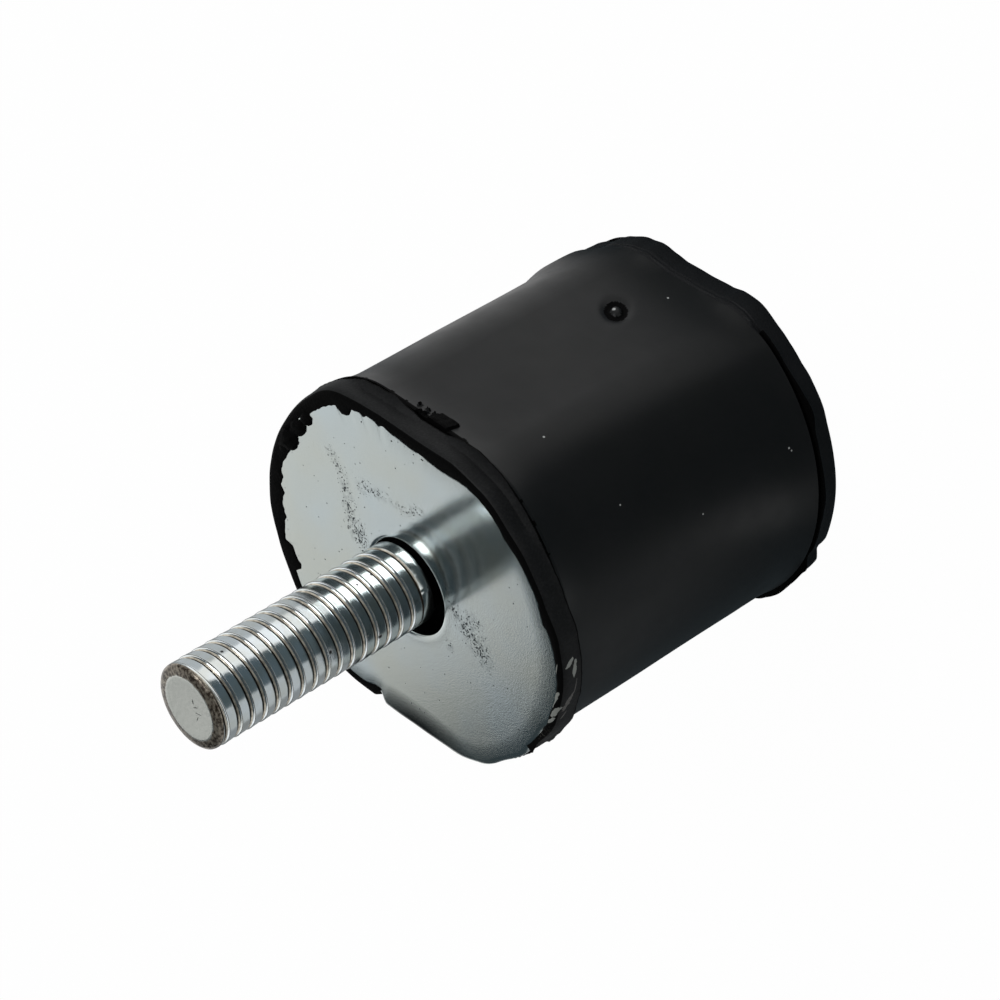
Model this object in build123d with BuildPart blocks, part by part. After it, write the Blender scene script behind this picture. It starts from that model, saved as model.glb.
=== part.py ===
"""Rubber buffer with a threaded stud at one end and a tapped bush at the other.

Millimetres. The origin is the mouth of the tapped bush, in the middle of the far end face.
+Z runs along the stud, and the two flats of the rubber face +X and -X.
"""

import os
from math import atan, cos, degrees, exp, radians, sin, tan

from build123d import *

# Overall
height = 25.9
plate_thickness = 1.5

# Steel end plates: round, with a flat on each side
plate_radius = 12.38
plate_flat_depth = 1.75
plate_corner_radius = 5.0
plate_edge_break = 0.15
near_plate_shift = (0.0, -0.75)

# Rubber, as its cover over the plates' edges
waist_cover = 0.25
near_rim_cover = 0.82
far_rim_cover = 0.47
waist_flat_depth = 1.3
near_rim_flat_depth = 1.7
far_rim_flat_depth = 1.3
rubber_corner_radius = 6.0
near_rim_shift = (0.23, -0.45)
lip_round = 0.4

# Flares where the waist runs out to the mould's parting lines
near_flare_rise = 0.4
near_flare_length = 2.0
far_flare_rise = 0.2
far_flare_length = 1.6
flare_blend_radius = 8.0
groove_width = 0.35
groove_depth = 0.25

# Torn flash along each parting line: a thin fin with lumps at an angle, of a height and a spread
flash_thickness = 0.16
flash_reach = 0.15
flash_step = 5
near_flash_lumps = [
    (-8, 0.85, 5), (-19, 0.45, 6), (-86, 0.45, 12), (14, 0.4, 6), (62, 0.15, 10),
    (-150, 0.15, 14), (180, 0.2, 10),
]
far_flash_lumps = [
    (-16, 0.12, 7), (-46, 0.1, 6), (-57, 0.35, 5), (-84, 0.15, 6), (-115, 0.4, 5),
    (-133, 0.5, 6), (180, 0.15, 14), (125, 0.2, 8), (62, 0.45, 8), (78, 0.15, 6),
]

# Gate mark on the +X flat
gate_height = 7.4
gate_offset = 0.6
gate_radius = 1.15
gate_depth = 0.22
gate_pip_radius = 0.45

# Stud
stud_radius = 2.9
stud_length = 17.4
stud_tip_radius = 2.17
stud_tip_chamfer = 0.8
neck_radius = 2.6
neck_length = 0.9
neck_run_out = 0.3
head_radius = 5.0
head_thickness = 2.5
hole_radius = 3.35
hole_shift = (-0.36, -0.25)

# Tapped bush
tap_radius = 2.5
tap_depth = 6.0
drill_point_angle = 118.0
bush_floor = 1.0
bush_pilot_radius = 4.0
bush_collar_radius = 5.5
bush_chamfer = 0.5

# Worked out from the sizes above
plate_reach = plate_radius - plate_flat_depth
waist_radius = plate_radius + waist_cover
waist_reach = waist_radius - waist_flat_depth
near_rim_radius = plate_radius + near_rim_cover
near_rim_reach = near_rim_radius - near_rim_flat_depth
far_rim_radius = plate_radius + far_rim_cover
far_rim_reach = far_rim_radius - far_rim_flat_depth
near_parting = height - plate_thickness
far_parting = plate_thickness
near_flare_end = near_parting - groove_width
near_flare_start = near_flare_end - near_flare_length
far_flare_end = far_parting + groove_width
far_flare_start = far_flare_end + far_flare_length
head_bottom = near_parting - head_thickness
drill_point_height = tap_radius / tan(radians(drill_point_angle / 2))
bush_height = tap_depth + drill_point_height + bush_floor


def flatted_outline(radius, reach, corner, shift=(0, 0)):
    """Return a disc outline with a flat on its +X and -X sides."""
    with BuildSketch() as outline:
        with Locations(shift):
            Circle(radius)
            Rectangle(2 * reach, 4 * radius, mode=Mode.INTERSECT)
        fillet(outline.vertices(), corner)
    return outline.sketch


def waist_outline(inset=0.0):
    """Return the rubber's outline between its rims, drawn in by an inset."""
    return flatted_outline(waist_radius - inset, waist_reach - inset, rubber_corner_radius)


def plate_outline(shift=(0, 0)):
    """Return the outline that each steel plate shares with its pocket."""
    return flatted_outline(plate_radius, plate_reach, plate_corner_radius, shift)


def flash_outline(lumps, radius, reach, shift=(0, 0)):
    """Return a ragged outline that stands beyond a rim all round, most at its lumps."""
    points = []
    for angle in range(0, 360, flash_step):
        rim = min(radius, reach / max(abs(cos(radians(angle))), 0.1))
        distance = rim + flash_reach
        for lump_angle, lump_height, lump_spread in lumps:
            apart = (angle - lump_angle + 180) % 360 - 180
            distance += lump_height * exp(-((apart / lump_spread) ** 2))
        points.append((
            shift[0] + distance * cos(radians(angle)),
            shift[1] + distance * sin(radians(angle)),
        ))
    with BuildSketch() as outline:
        with BuildLine():
            Polyline(*points, close=True)
        make_face()
    return outline.sketch


def bush_section():
    """Return half of the bush's outer section, in the XZ plane's own axes."""
    with BuildSketch() as section:
        with BuildLine():
            Polyline(
                (0, 0),
                (bush_pilot_radius, 0),
                (bush_pilot_radius, plate_thickness),
                (bush_collar_radius, plate_thickness),
                (bush_collar_radius, bush_height - bush_chamfer),
                (bush_collar_radius - bush_chamfer, bush_height),
                (0, bush_height),
                close=True,
            )
        make_face()
    return section.sketch


with BuildPart() as stud_plate:
    with BuildSketch(Plane.XY.offset(near_parting)):
        add(plate_outline(near_plate_shift))
        with Locations(hole_shift):
            Circle(hole_radius, mode=Mode.SUBTRACT)
    extrude(amount=plate_thickness)
    chamfer(stud_plate.faces().sort_by(Axis.Z)[-1].outer_wire().edges(), plate_edge_break)

with BuildPart() as threaded_stud:
    with BuildSketch(Plane.XZ):
        with BuildLine():
            Polyline(
                (0, head_bottom),
                (head_radius, head_bottom),
                (head_radius, near_parting),
                (neck_radius, near_parting),
                (neck_radius, height + neck_length),
                (stud_radius, height + neck_length + neck_run_out),
                (stud_radius, height + stud_length - stud_tip_chamfer),
                (stud_tip_radius, height + stud_length),
                (0, height + stud_length),
                close=True,
            )
        make_face()
    revolve(axis=Axis.Z)

with BuildPart() as threaded_insert:
    with BuildSketch(Plane.XZ):
        add(bush_section())
        with BuildLine():
            Polyline(
                (0, 0),
                (tap_radius, 0),
                (tap_radius, tap_depth),
                (0, tap_depth + drill_point_height),
                close=True,
            )
        make_face(mode=Mode.SUBTRACT)
    revolve(axis=Axis.Z)

with BuildPart() as tapped_plate:
    with BuildSketch():
        add(plate_outline())
        Circle(bush_pilot_radius, mode=Mode.SUBTRACT)
    extrude(amount=plate_thickness)
    chamfer(tapped_plate.faces().sort_by(Axis.Z)[0].outer_wire().edges(), plate_edge_break)

with BuildPart() as rubber_body:
    # Core, as deep as the grooves at the parting lines
    with BuildSketch():
        add(waist_outline(groove_depth))
    extrude(amount=height)

    # Waist and its flares
    with BuildSketch(Plane.XY.offset(far_flare_start)):
        add(waist_outline())
    extrude(amount=near_flare_start - far_flare_start)
    with BuildSketch(Plane.XY.offset(near_flare_start)):
        add(waist_outline())
    extrude(
        amount=near_flare_length,
        taper=-degrees(atan(near_flare_rise / near_flare_length)),
    )
    with BuildSketch(Plane(origin=(0, 0, far_flare_start), z_dir=(0, 0, -1))):
        add(waist_outline())
    extrude(
        amount=far_flare_length,
        taper=-degrees(atan(far_flare_rise / far_flare_length)),
    )
    for level in (near_flare_start, far_flare_start):
        fillet(rubber_body.edges().filter_by_position(Axis.Z, level, level), flare_blend_radius)

    # Rims that wrap the plates' edges
    with BuildSketch(Plane.XY.offset(near_parting)):
        add(flatted_outline(near_rim_radius, near_rim_reach, rubber_corner_radius, near_rim_shift))
    extrude(amount=plate_thickness)
    with BuildSketch():
        add(flatted_outline(far_rim_radius, far_rim_reach, rubber_corner_radius))
    extrude(amount=plate_thickness)
    for end in (0, -1):
        fillet(rubber_body.faces().sort_by(Axis.Z)[end].outer_wire().edges(), lip_round)

    # Flash
    with BuildSketch(Plane.XY.offset(near_parting)):
        add(flash_outline(near_flash_lumps, near_rim_radius, near_rim_reach, near_rim_shift))
    extrude(amount=flash_thickness / 2, both=True)
    with BuildSketch(Plane.XY.offset(far_parting)):
        add(flash_outline(far_flash_lumps, far_rim_radius, far_rim_reach))
    extrude(amount=flash_thickness / 2, both=True)

    # Gate mark
    with BuildSketch(Plane(origin=(waist_reach, gate_offset, gate_height), z_dir=(1, 0, 0))):
        Circle(gate_radius)
        Circle(gate_pip_radius, mode=Mode.SUBTRACT)
    extrude(amount=-gate_depth, mode=Mode.SUBTRACT)

    # Pockets of the two plates, the stud's head and the bush
    with BuildSketch(Plane.XY.offset(near_parting)):
        add(plate_outline(near_plate_shift))
    extrude(amount=plate_thickness, mode=Mode.SUBTRACT)
    with BuildSketch():
        add(plate_outline())
    extrude(amount=plate_thickness, mode=Mode.SUBTRACT)
    with BuildSketch(Plane.XY.offset(head_bottom)):
        Circle(head_radius)
    extrude(amount=head_thickness, mode=Mode.SUBTRACT)
    with BuildSketch(Plane.XZ):
        add(bush_section())
    revolve(axis=Axis.Z, mode=Mode.SUBTRACT)

rubber_body.part.label = "rubber_body"
stud_plate.part.label = "stud_plate"
threaded_stud.part.label = "threaded_stud"
tapped_plate.part.label = "tapped_plate"
threaded_insert.part.label = "threaded_insert"

os.makedirs("parts", exist_ok=True)
export_step(rubber_body.part, "parts/rubber_body.step")
export_step(stud_plate.part, "parts/stud_plate.step")
export_step(threaded_stud.part, "parts/threaded_stud.step")
export_step(tapped_plate.part, "parts/tapped_plate.step")
export_step(threaded_insert.part, "parts/threaded_insert.step")
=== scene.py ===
"""Looks of the rubber buffer: its moulded rubber, its zinc-plated plates and stud, and the studio.

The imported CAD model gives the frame. Each operator makes its pieces in millimetres, as rings of
edges that are extruded along the stud's axis, and scales each mesh to metres at the end.
"""

import math

import bmesh
import bpy
from mathutils import Matrix, Quaternion, Vector, noise


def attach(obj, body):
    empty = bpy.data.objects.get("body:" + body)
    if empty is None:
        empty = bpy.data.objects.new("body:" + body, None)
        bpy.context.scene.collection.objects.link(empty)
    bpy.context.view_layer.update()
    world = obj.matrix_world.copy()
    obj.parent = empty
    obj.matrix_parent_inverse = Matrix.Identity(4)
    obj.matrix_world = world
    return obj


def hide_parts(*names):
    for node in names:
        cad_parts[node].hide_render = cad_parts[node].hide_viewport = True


bl_info = {
    "name": "Rubber Buffer Looks",
    "version": (1, 0, 0),
    "blender": (4, 5, 0),
    "location": "3D View > Sidebar > Rubber Buffer",
    "description": "Builds the moulded rubber, the plated steel and the studio of a rubber buffer",
    "category": "Object",
}

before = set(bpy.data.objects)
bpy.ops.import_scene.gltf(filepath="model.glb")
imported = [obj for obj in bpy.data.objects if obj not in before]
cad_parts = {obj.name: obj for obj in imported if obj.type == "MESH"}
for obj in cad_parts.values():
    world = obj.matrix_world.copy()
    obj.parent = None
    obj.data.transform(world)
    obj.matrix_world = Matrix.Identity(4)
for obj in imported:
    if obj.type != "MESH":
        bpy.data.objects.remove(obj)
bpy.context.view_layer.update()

# Levels along the stud's axis, in mm from the tapped end face
HEIGHT = 25.9
PLATE = 1.5
NEAR_PARTING = HEIGHT - PLATE
BARED_RIM = 25.3
FILM_TOP = 26.0
HEAD_BOTTOM = 21.9
BUSH_TOP = 8.5
TAP_DEPTH = 6.0
DRILL_TIP = 7.48

# Radii in mm
HOLE_RADIUS = 3.35
NECK_RADIUS = 2.86
TIP_RADIUS = 2.17
HEAD_RADIUS = 5.0
BUSH_RADIUS = 5.5
PILOT_RADIUS = 4.0
TAP_MINOR = 2.5
TAP_MAJOR = 3.0

# What the two flats take off each disc's radius, and the rounding where they begin, in mm
PLATE_FLAT = 1.75
WAIST_FLAT = 1.3
NEAR_RIM_FLAT = 1.7
FAR_RIM_FLAT = 1.3
PLATE_CORNER = 5.0
RUBBER_CORNER = 6.0

# How far each outline's centre lies off the stud's axis, as X and Y in mm
NEAR_PLATE_SHIFT = (0.0, -0.75)
NEAR_RIM_SHIFT = (0.23, -0.45)
HOLE_SHIFT = (-0.36, -0.25)

# Gate mark on the +X flat: its centre's Y and Z, its half sizes along and across one diagonal of the
# flat, each times the square root of 2, the dish's depth and the pip's height, in mm. The pip, and the
# ring round it that is painted black as shade in the dish, end at these shares of the dish.
GATE_Y = 0.75
GATE_Z = 7.2
GATE_LONG = 1.75
GATE_SHORT = 1.25
GATE_DEPTH = 0.32
GATE_PIP = 0.34
PIP_SHARE = 0.42
SHADED_RING_SHARE = 0.85

# Thread: a level in mm at which a turn starts at +X, and the shares of a turn at which the thin line of
# painted shade in the crease after the crest starts and ends, the edge with its painted highlight
# starts, and the groove, brown with dirt and painted shade, starts
THREAD_START = 0.215
SHADE_LINE_START = 0.612
SHADE_LINE_END = 0.635
HIGHLIGHT_START = 0.74
GROOVE_START = 0.85

# Offsets in mm from each regular outline, at degrees round it, as the moulding came out
NEAR_SIDE = (
    (-172, 0.02), (-160, -0.09), (-148, -0.37), (-136, -0.54), (-124, -0.34), (-118, -0.18), (-102, 0.3),
    (-88, 0.44), (-76, 0.31), (-64, -0.21), (-52, -0.4), (-40, -0.66), (-28, -0.47), (-16, 0.0),
    (-4, -0.06), (13, -0.04), (25, -0.21), (37, 0.0), (49, -0.1), (61, -0.11), (73, -0.03), (85, 0.03),
    (97, 0.08), (109, -0.1), (121, -0.2), (140, -0.05), (164, 0.08), (176, 0.1),
)
NEAR_EDGE = (
    (-172, 0.1), (-160, 0.0), (-148, -0.25), (-136, -0.45), (-124, -0.25), (-118, -0.1), (-102, 0.3),
    (-93, 0.4), (-85, 0.42), (-76, 0.33), (-64, -0.12), (-51, -0.36), (-37, -0.2), (-25, 0.3),
    (-19, 0.59), (-14, 0.54), (-6, 0.14), (2, 0.04), (9, 0.26), (14, 0.54), (20, 0.4), (25, 0.24),
    (35, -0.04), (49, 0.0), (61, 0.0), (85, 0.1), (97, 0.15), (121, -0.1), (150, 0.1), (176, 0.16),
)
FAR_SIDE = (
    (-170, 0.0), (-150, 0.05), (-132, 0.3), (-124, 0.05), (-115, 0.15), (-110, -0.3), (-104, -0.05),
    (-65, -0.05), (-58, 0.05), (-50, 0.0), (-42, -0.2), (-33, -0.15), (-22, 0.23), (-18, 0.26),
    (-13, 0.05), (-3, -0.07), (6, -0.11), (11, 0.03), (16, 0.18), (21, -0.01), (30, -0.3), (38, -0.5),
    (46, -0.25), (58, 0.0), (100, 0.05), (140, -0.05), (165, 0.05),
)
LIP_EDGE = (
    (-178, 0.16), (-166, -0.16), (-160, -0.51), (-154, -0.83), (-148, -1.1), (-142, -0.6), (-134, -0.05),
    (-120, 0.18), (-110, 0.0), (-102, 0.14), (-89, 0.34), (-84, 0.34), (-79, 0.25), (-74, 0.11),
    (-70.7, -0.02), (-69.6, -0.26), (-60, -0.2), (-52, -0.36), (-42, -0.65), (-37, -0.52), (-32, -0.34),
    (-27, -0.11), (-22, 0.07), (-13, -0.04), (-7, 0.03), (-3.5, 0.15), (0.5, 0.08), (10, 0.21),
    (14, 0.36), (16.6, 0.15), (18, 0.3), (21, 0.34), (23.4, 0.07), (24.2, 0.19), (28, 0.11),
    (29.4, -0.24), (30.4, -0.5), (31.8, -0.56), (33.4, -0.5), (34.4, -0.2), (35, 0.05), (39, 0.05),
    (48.6, 0.06), (54, 0.26), (62, 0.42), (68, 0.2), (70.5, -0.3), (74, -0.2), (77.6, -0.05),
    (81.4, 0.01), (83, -0.23), (86.2, -0.09), (88.9, -0.46), (91, -0.3), (93.5, -0.19), (96, -0.4),
    (97.7, -0.54), (100, -0.3), (104, -0.1), (107, 0.0), (107.8, -0.6), (112.5, -0.76), (114.4, -1.0),
    (116, -0.86), (117, -0.17), (121.8, -0.17), (130, 0.0), (158, 0.04), (164, -0.36), (170, -0.29),
    (176, 0.24),
)

# Torn crumbs of rubber stuck on the stud's plate: X, Y, half length, half width, turn in degrees
CRUMBS = (
    (7.45, 9.05, 0.62, 0.45, -40.0), (6.4, 9.8, 0.85, 0.55, -40.0), (4.95, 10.7, 1.0, 0.75, -40.0),
    (5.75, 10.2, 0.5, 0.4, -40.0), (4.1, 11.2, 0.5, 0.4, -40.0),
    (6.9, 9.3, 0.1, 0.08, 0.0), (10.2, 4.0, 0.06, 0.05, 0.0), (10.3, 1.3, 0.05, 0.08, 30.0),
    (10.45, -1.4, 0.12, 0.05, 90.0), (9.7, -5.6, 0.06, 0.05, 0.0), (3.2, 11.3, 0.12, 0.1, 0.0),
)

# Scuffs on the stud's plate: X and Y of the centre, half length, half width, turn in degrees
SCUFFS = (
    (5.9, 6.5, 1.3, 0.6, 48.0), (4.6, 5.55, 1.4, 0.7, 25.0), (3.1, 5.1, 1.4, 0.8, 15.0),
    (1.7, 4.55, 1.4, 1.1, 22.0), (0.9, 4.0, 1.1, 1.1, 50.0), (5.25, 3.8, 0.9, 0.8, -70.0),
    (5.55, 2.4, 1.5, 0.6, -86.0), (5.55, 0.4, 1.3, 0.5, -86.0), (6.2, -0.9, 1.0, 0.5, -60.0),
    (-0.1, -5.2, 1.3, 0.9, 60.0), (-0.7, -6.4, 1.7, 1.3, 59.0), (-1.6, -7.2, 1.2, 0.8, 40.0),
    (0.6, -4.5, 0.8, 0.7, 0.0), (0.8, -6.2, 1.0, 0.7, 80.0), (-2.6, -4.2, 0.6, 0.5, 0.0),
)

# Lumps of torn flash at the far parting line: angle in degrees, height in mm, spread in degrees
FAR_FLASH = (
    (-57, 0.3, 5), (-84, 0.15, 6), (-112, 0.2, 4), (-124, 0.15, 5),
    (180, 0.15, 14), (125, 0.2, 8), (78, 0.15, 6),
)

# Flakes where the near rim peels: centre, half sizes, turn about Z, tilt about Y, in mm and degrees
LIGHT_FLAKES = (
    ((2.05, -13.9, 25.3), (0.5, 0.8, 0.22), 0.0, 55.0),
    ((1.5, -14.0, 24.95), (0.85, 0.8, 0.2), 0.0, 12.0),
    ((-0.9, -13.4, 25.95), (1.3, 0.17, 0.4), 160.0, 0.0),
    ((-1.8, -13.5, 25.95), (0.9, 0.2, 0.4), 149.0, 0.0),
    ((-2.66, -13.2, 25.95), (0.6, 0.14, 0.4), 143.0, 0.0),
    ((1.3, -13.4, 25.95), (1.1, 0.06, 0.3), 175.0, 0.0),
)
DULL_FLAKES = (
    ((-1.05, -14.0, 25.35), (1.0, 0.8, 0.27), 0.0, 25.0),
    ((-2.15, -13.85, 25.45), (0.55, 0.8, 0.08), 0.0, 31.0),
    ((0.15, -14.0, 24.87), (0.6, 0.8, 0.06), 0.0, 6.0),
)

# Dust on the rubber, a painted highlight on the gate mark's pip in its last row, and black specks on the
# stud: X, Y, Z and radius in mm
DUST_AND_GLINT = (
    (11.16, -5.32, 19.53, 0.1), (5.47, -11.38, 3.65, 0.1), (4.75, -11.69, 11.72, 0.08),
    (7.65, -10.04, 17.53, 0.08), (11.33, -0.59, 3.89, 0.1), (5.25, -11.48, 3.5, 0.08),
    # Painted highlight on the gate mark's pip
    (11.33, 0.85, 7.3, 0.16),
)
SPECKS = (
    (2.85, 0.06, 40.61, 0.16), (0.97, -2.67, 34.45, 0.2), (0.05, -2.84, 30.52, 0.2),
    (2.75, -0.7, 30.48, 0.12), (2.78, -0.6, 29.23, 0.12), (0.6, -2.78, 31.5, 0.1),
)

# Scratches on the stud's sheared end: X and Y of the centre, half length, half width, turn in degrees
SCRATCHES = (
    (0.75, -0.35, 0.3, 0.1, 10.0), (0.45, -0.6, 0.4, 0.06, -60.0), (0.1, -0.85, 0.5, 0.05, -75.0),
    (-0.35, -0.75, 0.3, 0.06, -20.0),
)

# Tints of the light that the flags and the dim part of the sky give
PALE = (0.94, 0.98, 1.0)
BLUE = (0.66, 0.88, 1.0)

# Flags: name, X, Y, width, depth and level in mm, tint, radiance. One without a depth is a disc, and
# its width is its radius.
FLAGS = (
    ("front_flag", 151.0, -160.0, 300.0, 300.0, -0.04, BLUE, 0.11),
    ("left_flag", -204.0, -150.0, 400.0, 500.0, -0.045, PALE, 0.27),
    ("corner_flag", -34.0, -46.0, 70.0, 38.0, -0.035, PALE, 0.5),
    ("back_flag", 20.0, 111.0, 100.0, 150.0, -0.03, PALE, 0.5),
    ("side_flag", -24.0, -4.0, 38.0, 38.0, -0.02, BLUE, 0.1),
    # A painted shadow: a dim disc round the base, seen only in reflections, stands for the floor's contact
    # shadow
    ("contact_shadow_flag", 0.0, 0.0, 17.0, 0.0, -0.01, BLUE, 0.1),
)
FLOOR_LEVEL = -0.05
FLOOR_WHITE = 0.985

# Lamps: name, azimuth and elevation in degrees, distance, width and height in metres, roll in
# degrees, radiance
LAMPS = (
    ("key_softbox", 12, 45, 0.6, 0.36, 0.36, 0, 4.5),
    ("side_softbox", 115, 26, 0.6, 0.47, 0.385, -15, 0.76),
    ("strip_softbox", 65, 68, 0.6, 0.16, 0.305, 21.4, 1.45),
    ("back_softbox", -163, 41, 0.6, 0.42, 0.62, 0, 0.38),
)

# Points round each ring of edges, about 0.11 mm apart on the rubber, and steps in a turn of thread
AROUND = 720
THREAD_STEPS = 120

# Radius in mm at which a ripple has its size, and the angle in degrees past which two faces meet in a
# sharp edge
RIPPLE_RADIUS = 12.4
SHARP_ANGLE = 35.0

# Point above the floor in metres that the lamps face, and the floor's half width in metres
LAMP_AIM = (0.0, 0.0, 0.02)
FLOOR_HALF = 3.0


def srgb(code):
    """Turn an sRGB hex colour into the linear numbers that Blender works in."""
    parts = [int(code[i : i + 2], 16) / 255 for i in (1, 3, 5)]
    return tuple(p / 12.92 if p <= 0.04045 else ((p + 0.055) / 1.055) ** 2.4 for p in parts)


def mm(length):
    """Turn a setting in metres into millimetres."""
    return length * 1000.0


class RubberSettings(bpy.types.PropertyGroup):
    """Sizes and colours of the moulded rubber."""

    near_rim_radius: bpy.props.FloatProperty(
        name="Stud end rim radius",
        description="Radius of the rim that wraps the plate at the stud's end",
        default=0.0132,
        unit="LENGTH",
    )
    far_rim_radius: bpy.props.FloatProperty(
        name="Tapped end rim radius",
        description="Radius of the rim that wraps the plate at the tapped end",
        default=0.01285,
        unit="LENGTH",
    )
    waist_radius: bpy.props.FloatProperty(
        name="Waist radius",
        description="Radius of the rubber between its two rims",
        default=0.01263,
        unit="LENGTH",
    )
    skin_colour: bpy.props.FloatVectorProperty(
        name="Moulded skin",
        description="Colour of the rubber where the mould left its smooth skin",
        subtype="COLOR",
        min=0.0,
        max=1.0,
        default=srgb("#131416"),
    )
    rim_colour: bpy.props.FloatVectorProperty(
        name="Rim",
        description="Colour of the duller rubber round the plates' edges",
        subtype="COLOR",
        min=0.0,
        max=1.0,
        default=srgb("#090a0b"),
    )
    # The same colour is painted shade in the grooves and round the gate's pip
    lip_and_shade_colour: bpy.props.FloatVectorProperty(
        name="Lip",
        description="Colour of the torn rubber that creeps over a plate's face",
        subtype="COLOR",
        min=0.0,
        max=1.0,
        default=srgb("#060606"),
    )


class SteelSettings(bpy.types.PropertyGroup):
    """Sizes and colours of the zinc-plated steel."""

    plate_radius: bpy.props.FloatProperty(
        name="Plate radius",
        description="Radius of both end plates",
        default=0.01238,
        unit="LENGTH",
    )
    stud_radius: bpy.props.FloatProperty(
        name="Stud radius",
        description="Radius over the crests of the stud's thread",
        default=0.0029,
        unit="LENGTH",
    )
    stud_length: bpy.props.FloatProperty(
        name="Stud length",
        description="How far the stud stands out of the plate",
        default=0.0174,
        unit="LENGTH",
    )
    pitch: bpy.props.FloatProperty(
        name="Thread pitch",
        description="Distance between two neighbouring crests",
        default=0.001,
        unit="LENGTH",
    )
    thread_depth: bpy.props.FloatProperty(
        name="Thread depth",
        description="Depth of the thread from crest to root",
        default=0.00027,
        unit="LENGTH",
    )
    zinc_colour: bpy.props.FloatVectorProperty(
        name="Plate zinc",
        description="Colour of the plates' blue bright zinc",
        subtype="COLOR",
        min=0.0,
        max=1.0,
        default=srgb("#c9d2d3"),
    )
    stud_colour: bpy.props.FloatVectorProperty(
        name="Stud zinc",
        description="Colour of the stud's blue bright zinc",
        subtype="COLOR",
        min=0.0,
        max=1.0,
        default=srgb("#e9f0f3"),
    )
    # The brown of the thread's dirt, also used as painted shade in its groove and crease
    grime_and_shade_colour: bpy.props.FloatVectorProperty(
        name="Grime",
        description="Colour of the brown film in the thread's roots",
        subtype="COLOR",
        min=0.0,
        max=1.0,
        default=srgb("#3d3329"),
    )


class StageSettings(bpy.types.PropertyGroup):
    """The camera, the floor and the light."""

    azimuth: bpy.props.FloatProperty(
        name="Camera azimuth",
        description="Where the camera stands round the stud's axis, from +X",
        default=math.radians(-40.724),
        unit="ROTATION",
    )
    elevation: bpy.props.FloatProperty(
        name="Camera elevation",
        description="How high the camera stands above the floor",
        default=math.radians(33.429),
        unit="ROTATION",
    )
    roll: bpy.props.FloatProperty(
        name="Camera roll",
        description="How far the camera is rolled, so that the buffer lies on its side in the picture",
        default=math.radians(-120.452),
        unit="ROTATION",
    )
    distance: bpy.props.FloatProperty(
        name="Camera distance",
        description="Distance from the camera to the point that it looks at",
        default=0.23124,
        unit="LENGTH",
    )
    aim: bpy.props.FloatVectorProperty(
        name="Camera aim",
        description="The point that the camera looks at",
        subtype="TRANSLATION",
        unit="LENGTH",
        default=(0.0040512, -0.0017516, 0.0194746),
    )
    lens: bpy.props.FloatProperty(
        name="Lens",
        description="Focal length, in mm on a 36 mm wide sensor",
        default=134.315,
    )
    floor_colour: bpy.props.FloatVectorProperty(
        name="Floor",
        description="Colour of the floor",
        subtype="COLOR",
        min=0.0,
        max=1.0,
        default=srgb("#f6f6f6"),
    )


def reach(outline, angle):
    """Distance from a flatted disc's own centre to its edge, at an angle from +X."""
    _, _, radius, flat, corner = outline
    turn = abs(math.atan2(math.sin(angle), math.cos(angle)))
    turn = min(turn, math.pi - turn)
    arm = flat - corner
    swing = radius - corner
    side = math.sqrt(max(swing**2 - arm**2, 0.0))
    if turn <= math.atan2(side, flat):
        return flat / math.cos(turn)
    if turn >= math.atan2(side, arm):
        return radius
    along = arm * math.cos(turn) + side * math.sin(turn)
    return along + math.sqrt(corner**2 - (swing**2 - along**2))


def follow(angle, points):
    """Offset at an angle, eased between (degrees, offset) points round a ring."""
    at = math.degrees(angle)
    points = [(points[-1][0] - 360, points[-1][1]), *points, (points[0][0] + 360, points[0][1])]
    for (low, one), (high, other) in zip(points, points[1:]):
        if at <= high:
            part = (at - low) / (high - low)
            return one + (other - one) * part * part * (3 - 2 * part)
    return points[-1][1]


def plateau(angle, low, high, soft):
    """1 between two angles in degrees and 0 outside them, eased over a soft width."""
    at = math.degrees(angle)
    rise = min(max((at - low) / soft + 0.5, 0.0), 1.0)
    fall = min(max((high - at) / soft + 0.5, 0.0), 1.0)
    return rise * rise * (3 - 2 * rise) * fall * fall * (3 - 2 * fall)


def lumps(angle, places):
    """Height at an angle of soft lumps, each with an angle and a spread in degrees."""
    total = 0.0
    for at, height, spread in places:
        apart = (math.degrees(angle) - at + 180) % 360 - 180
        total += height * math.exp(-((apart / spread) ** 2))
    return total


def ripple(angle, size, seed):
    """Smooth noise from about -1 to 1 round a ring, with features of a size in mm."""
    spin = RIPPLE_RADIUS / size
    return noise.noise(Vector((spin * math.cos(angle), spin * math.sin(angle), seed)))


def place_ring(bm, verts, outline, offset, height):
    """Set a ring's vertices on an outline. Offset and height may change with the angle."""
    turn = bm.verts.layers.float["turn"]
    for vert in verts:
        angle = vert[turn]
        out = offset(angle) if callable(offset) else offset
        up = height(angle) if callable(height) else height
        far = reach(outline, angle) + out
        vert.co = (outline[0] + far * math.cos(angle), outline[1] + far * math.sin(angle), up)


def grow(stations):
    """Extrude a closed shell from a list of (outline, offset, height, material) stations."""
    bm = bmesh.new()
    turn = bm.verts.layers.float.new("turn")
    bmesh.ops.create_circle(bm, cap_ends=True, segments=AROUND, radius=1.0)
    for vert in bm.verts:
        vert[turn] = math.atan2(vert.co.y, vert.co.x)
    place_ring(bm, bm.verts, *stations[0][:3])
    bm.faces.ensure_lookup_table()
    bm.faces[0].material_index = stations[0][3]
    ring = bm.edges[:]
    for outline, offset, height, material in stations[1:]:
        made = bmesh.ops.extrude_edge_only(bm, edges=ring)["geom"]
        ring = [part for part in made if isinstance(part, bmesh.types.BMEdge)]
        verts = [part for part in made if isinstance(part, bmesh.types.BMVert)]
        for face in (part for part in made if isinstance(part, bmesh.types.BMFace)):
            face.material_index = material
        place_ring(bm, verts, outline, offset, height)
    cap = bmesh.ops.contextual_create(bm, geom=ring)
    for face in cap["faces"]:
        face.material_index = stations[-1][3]
    return bm


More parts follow.
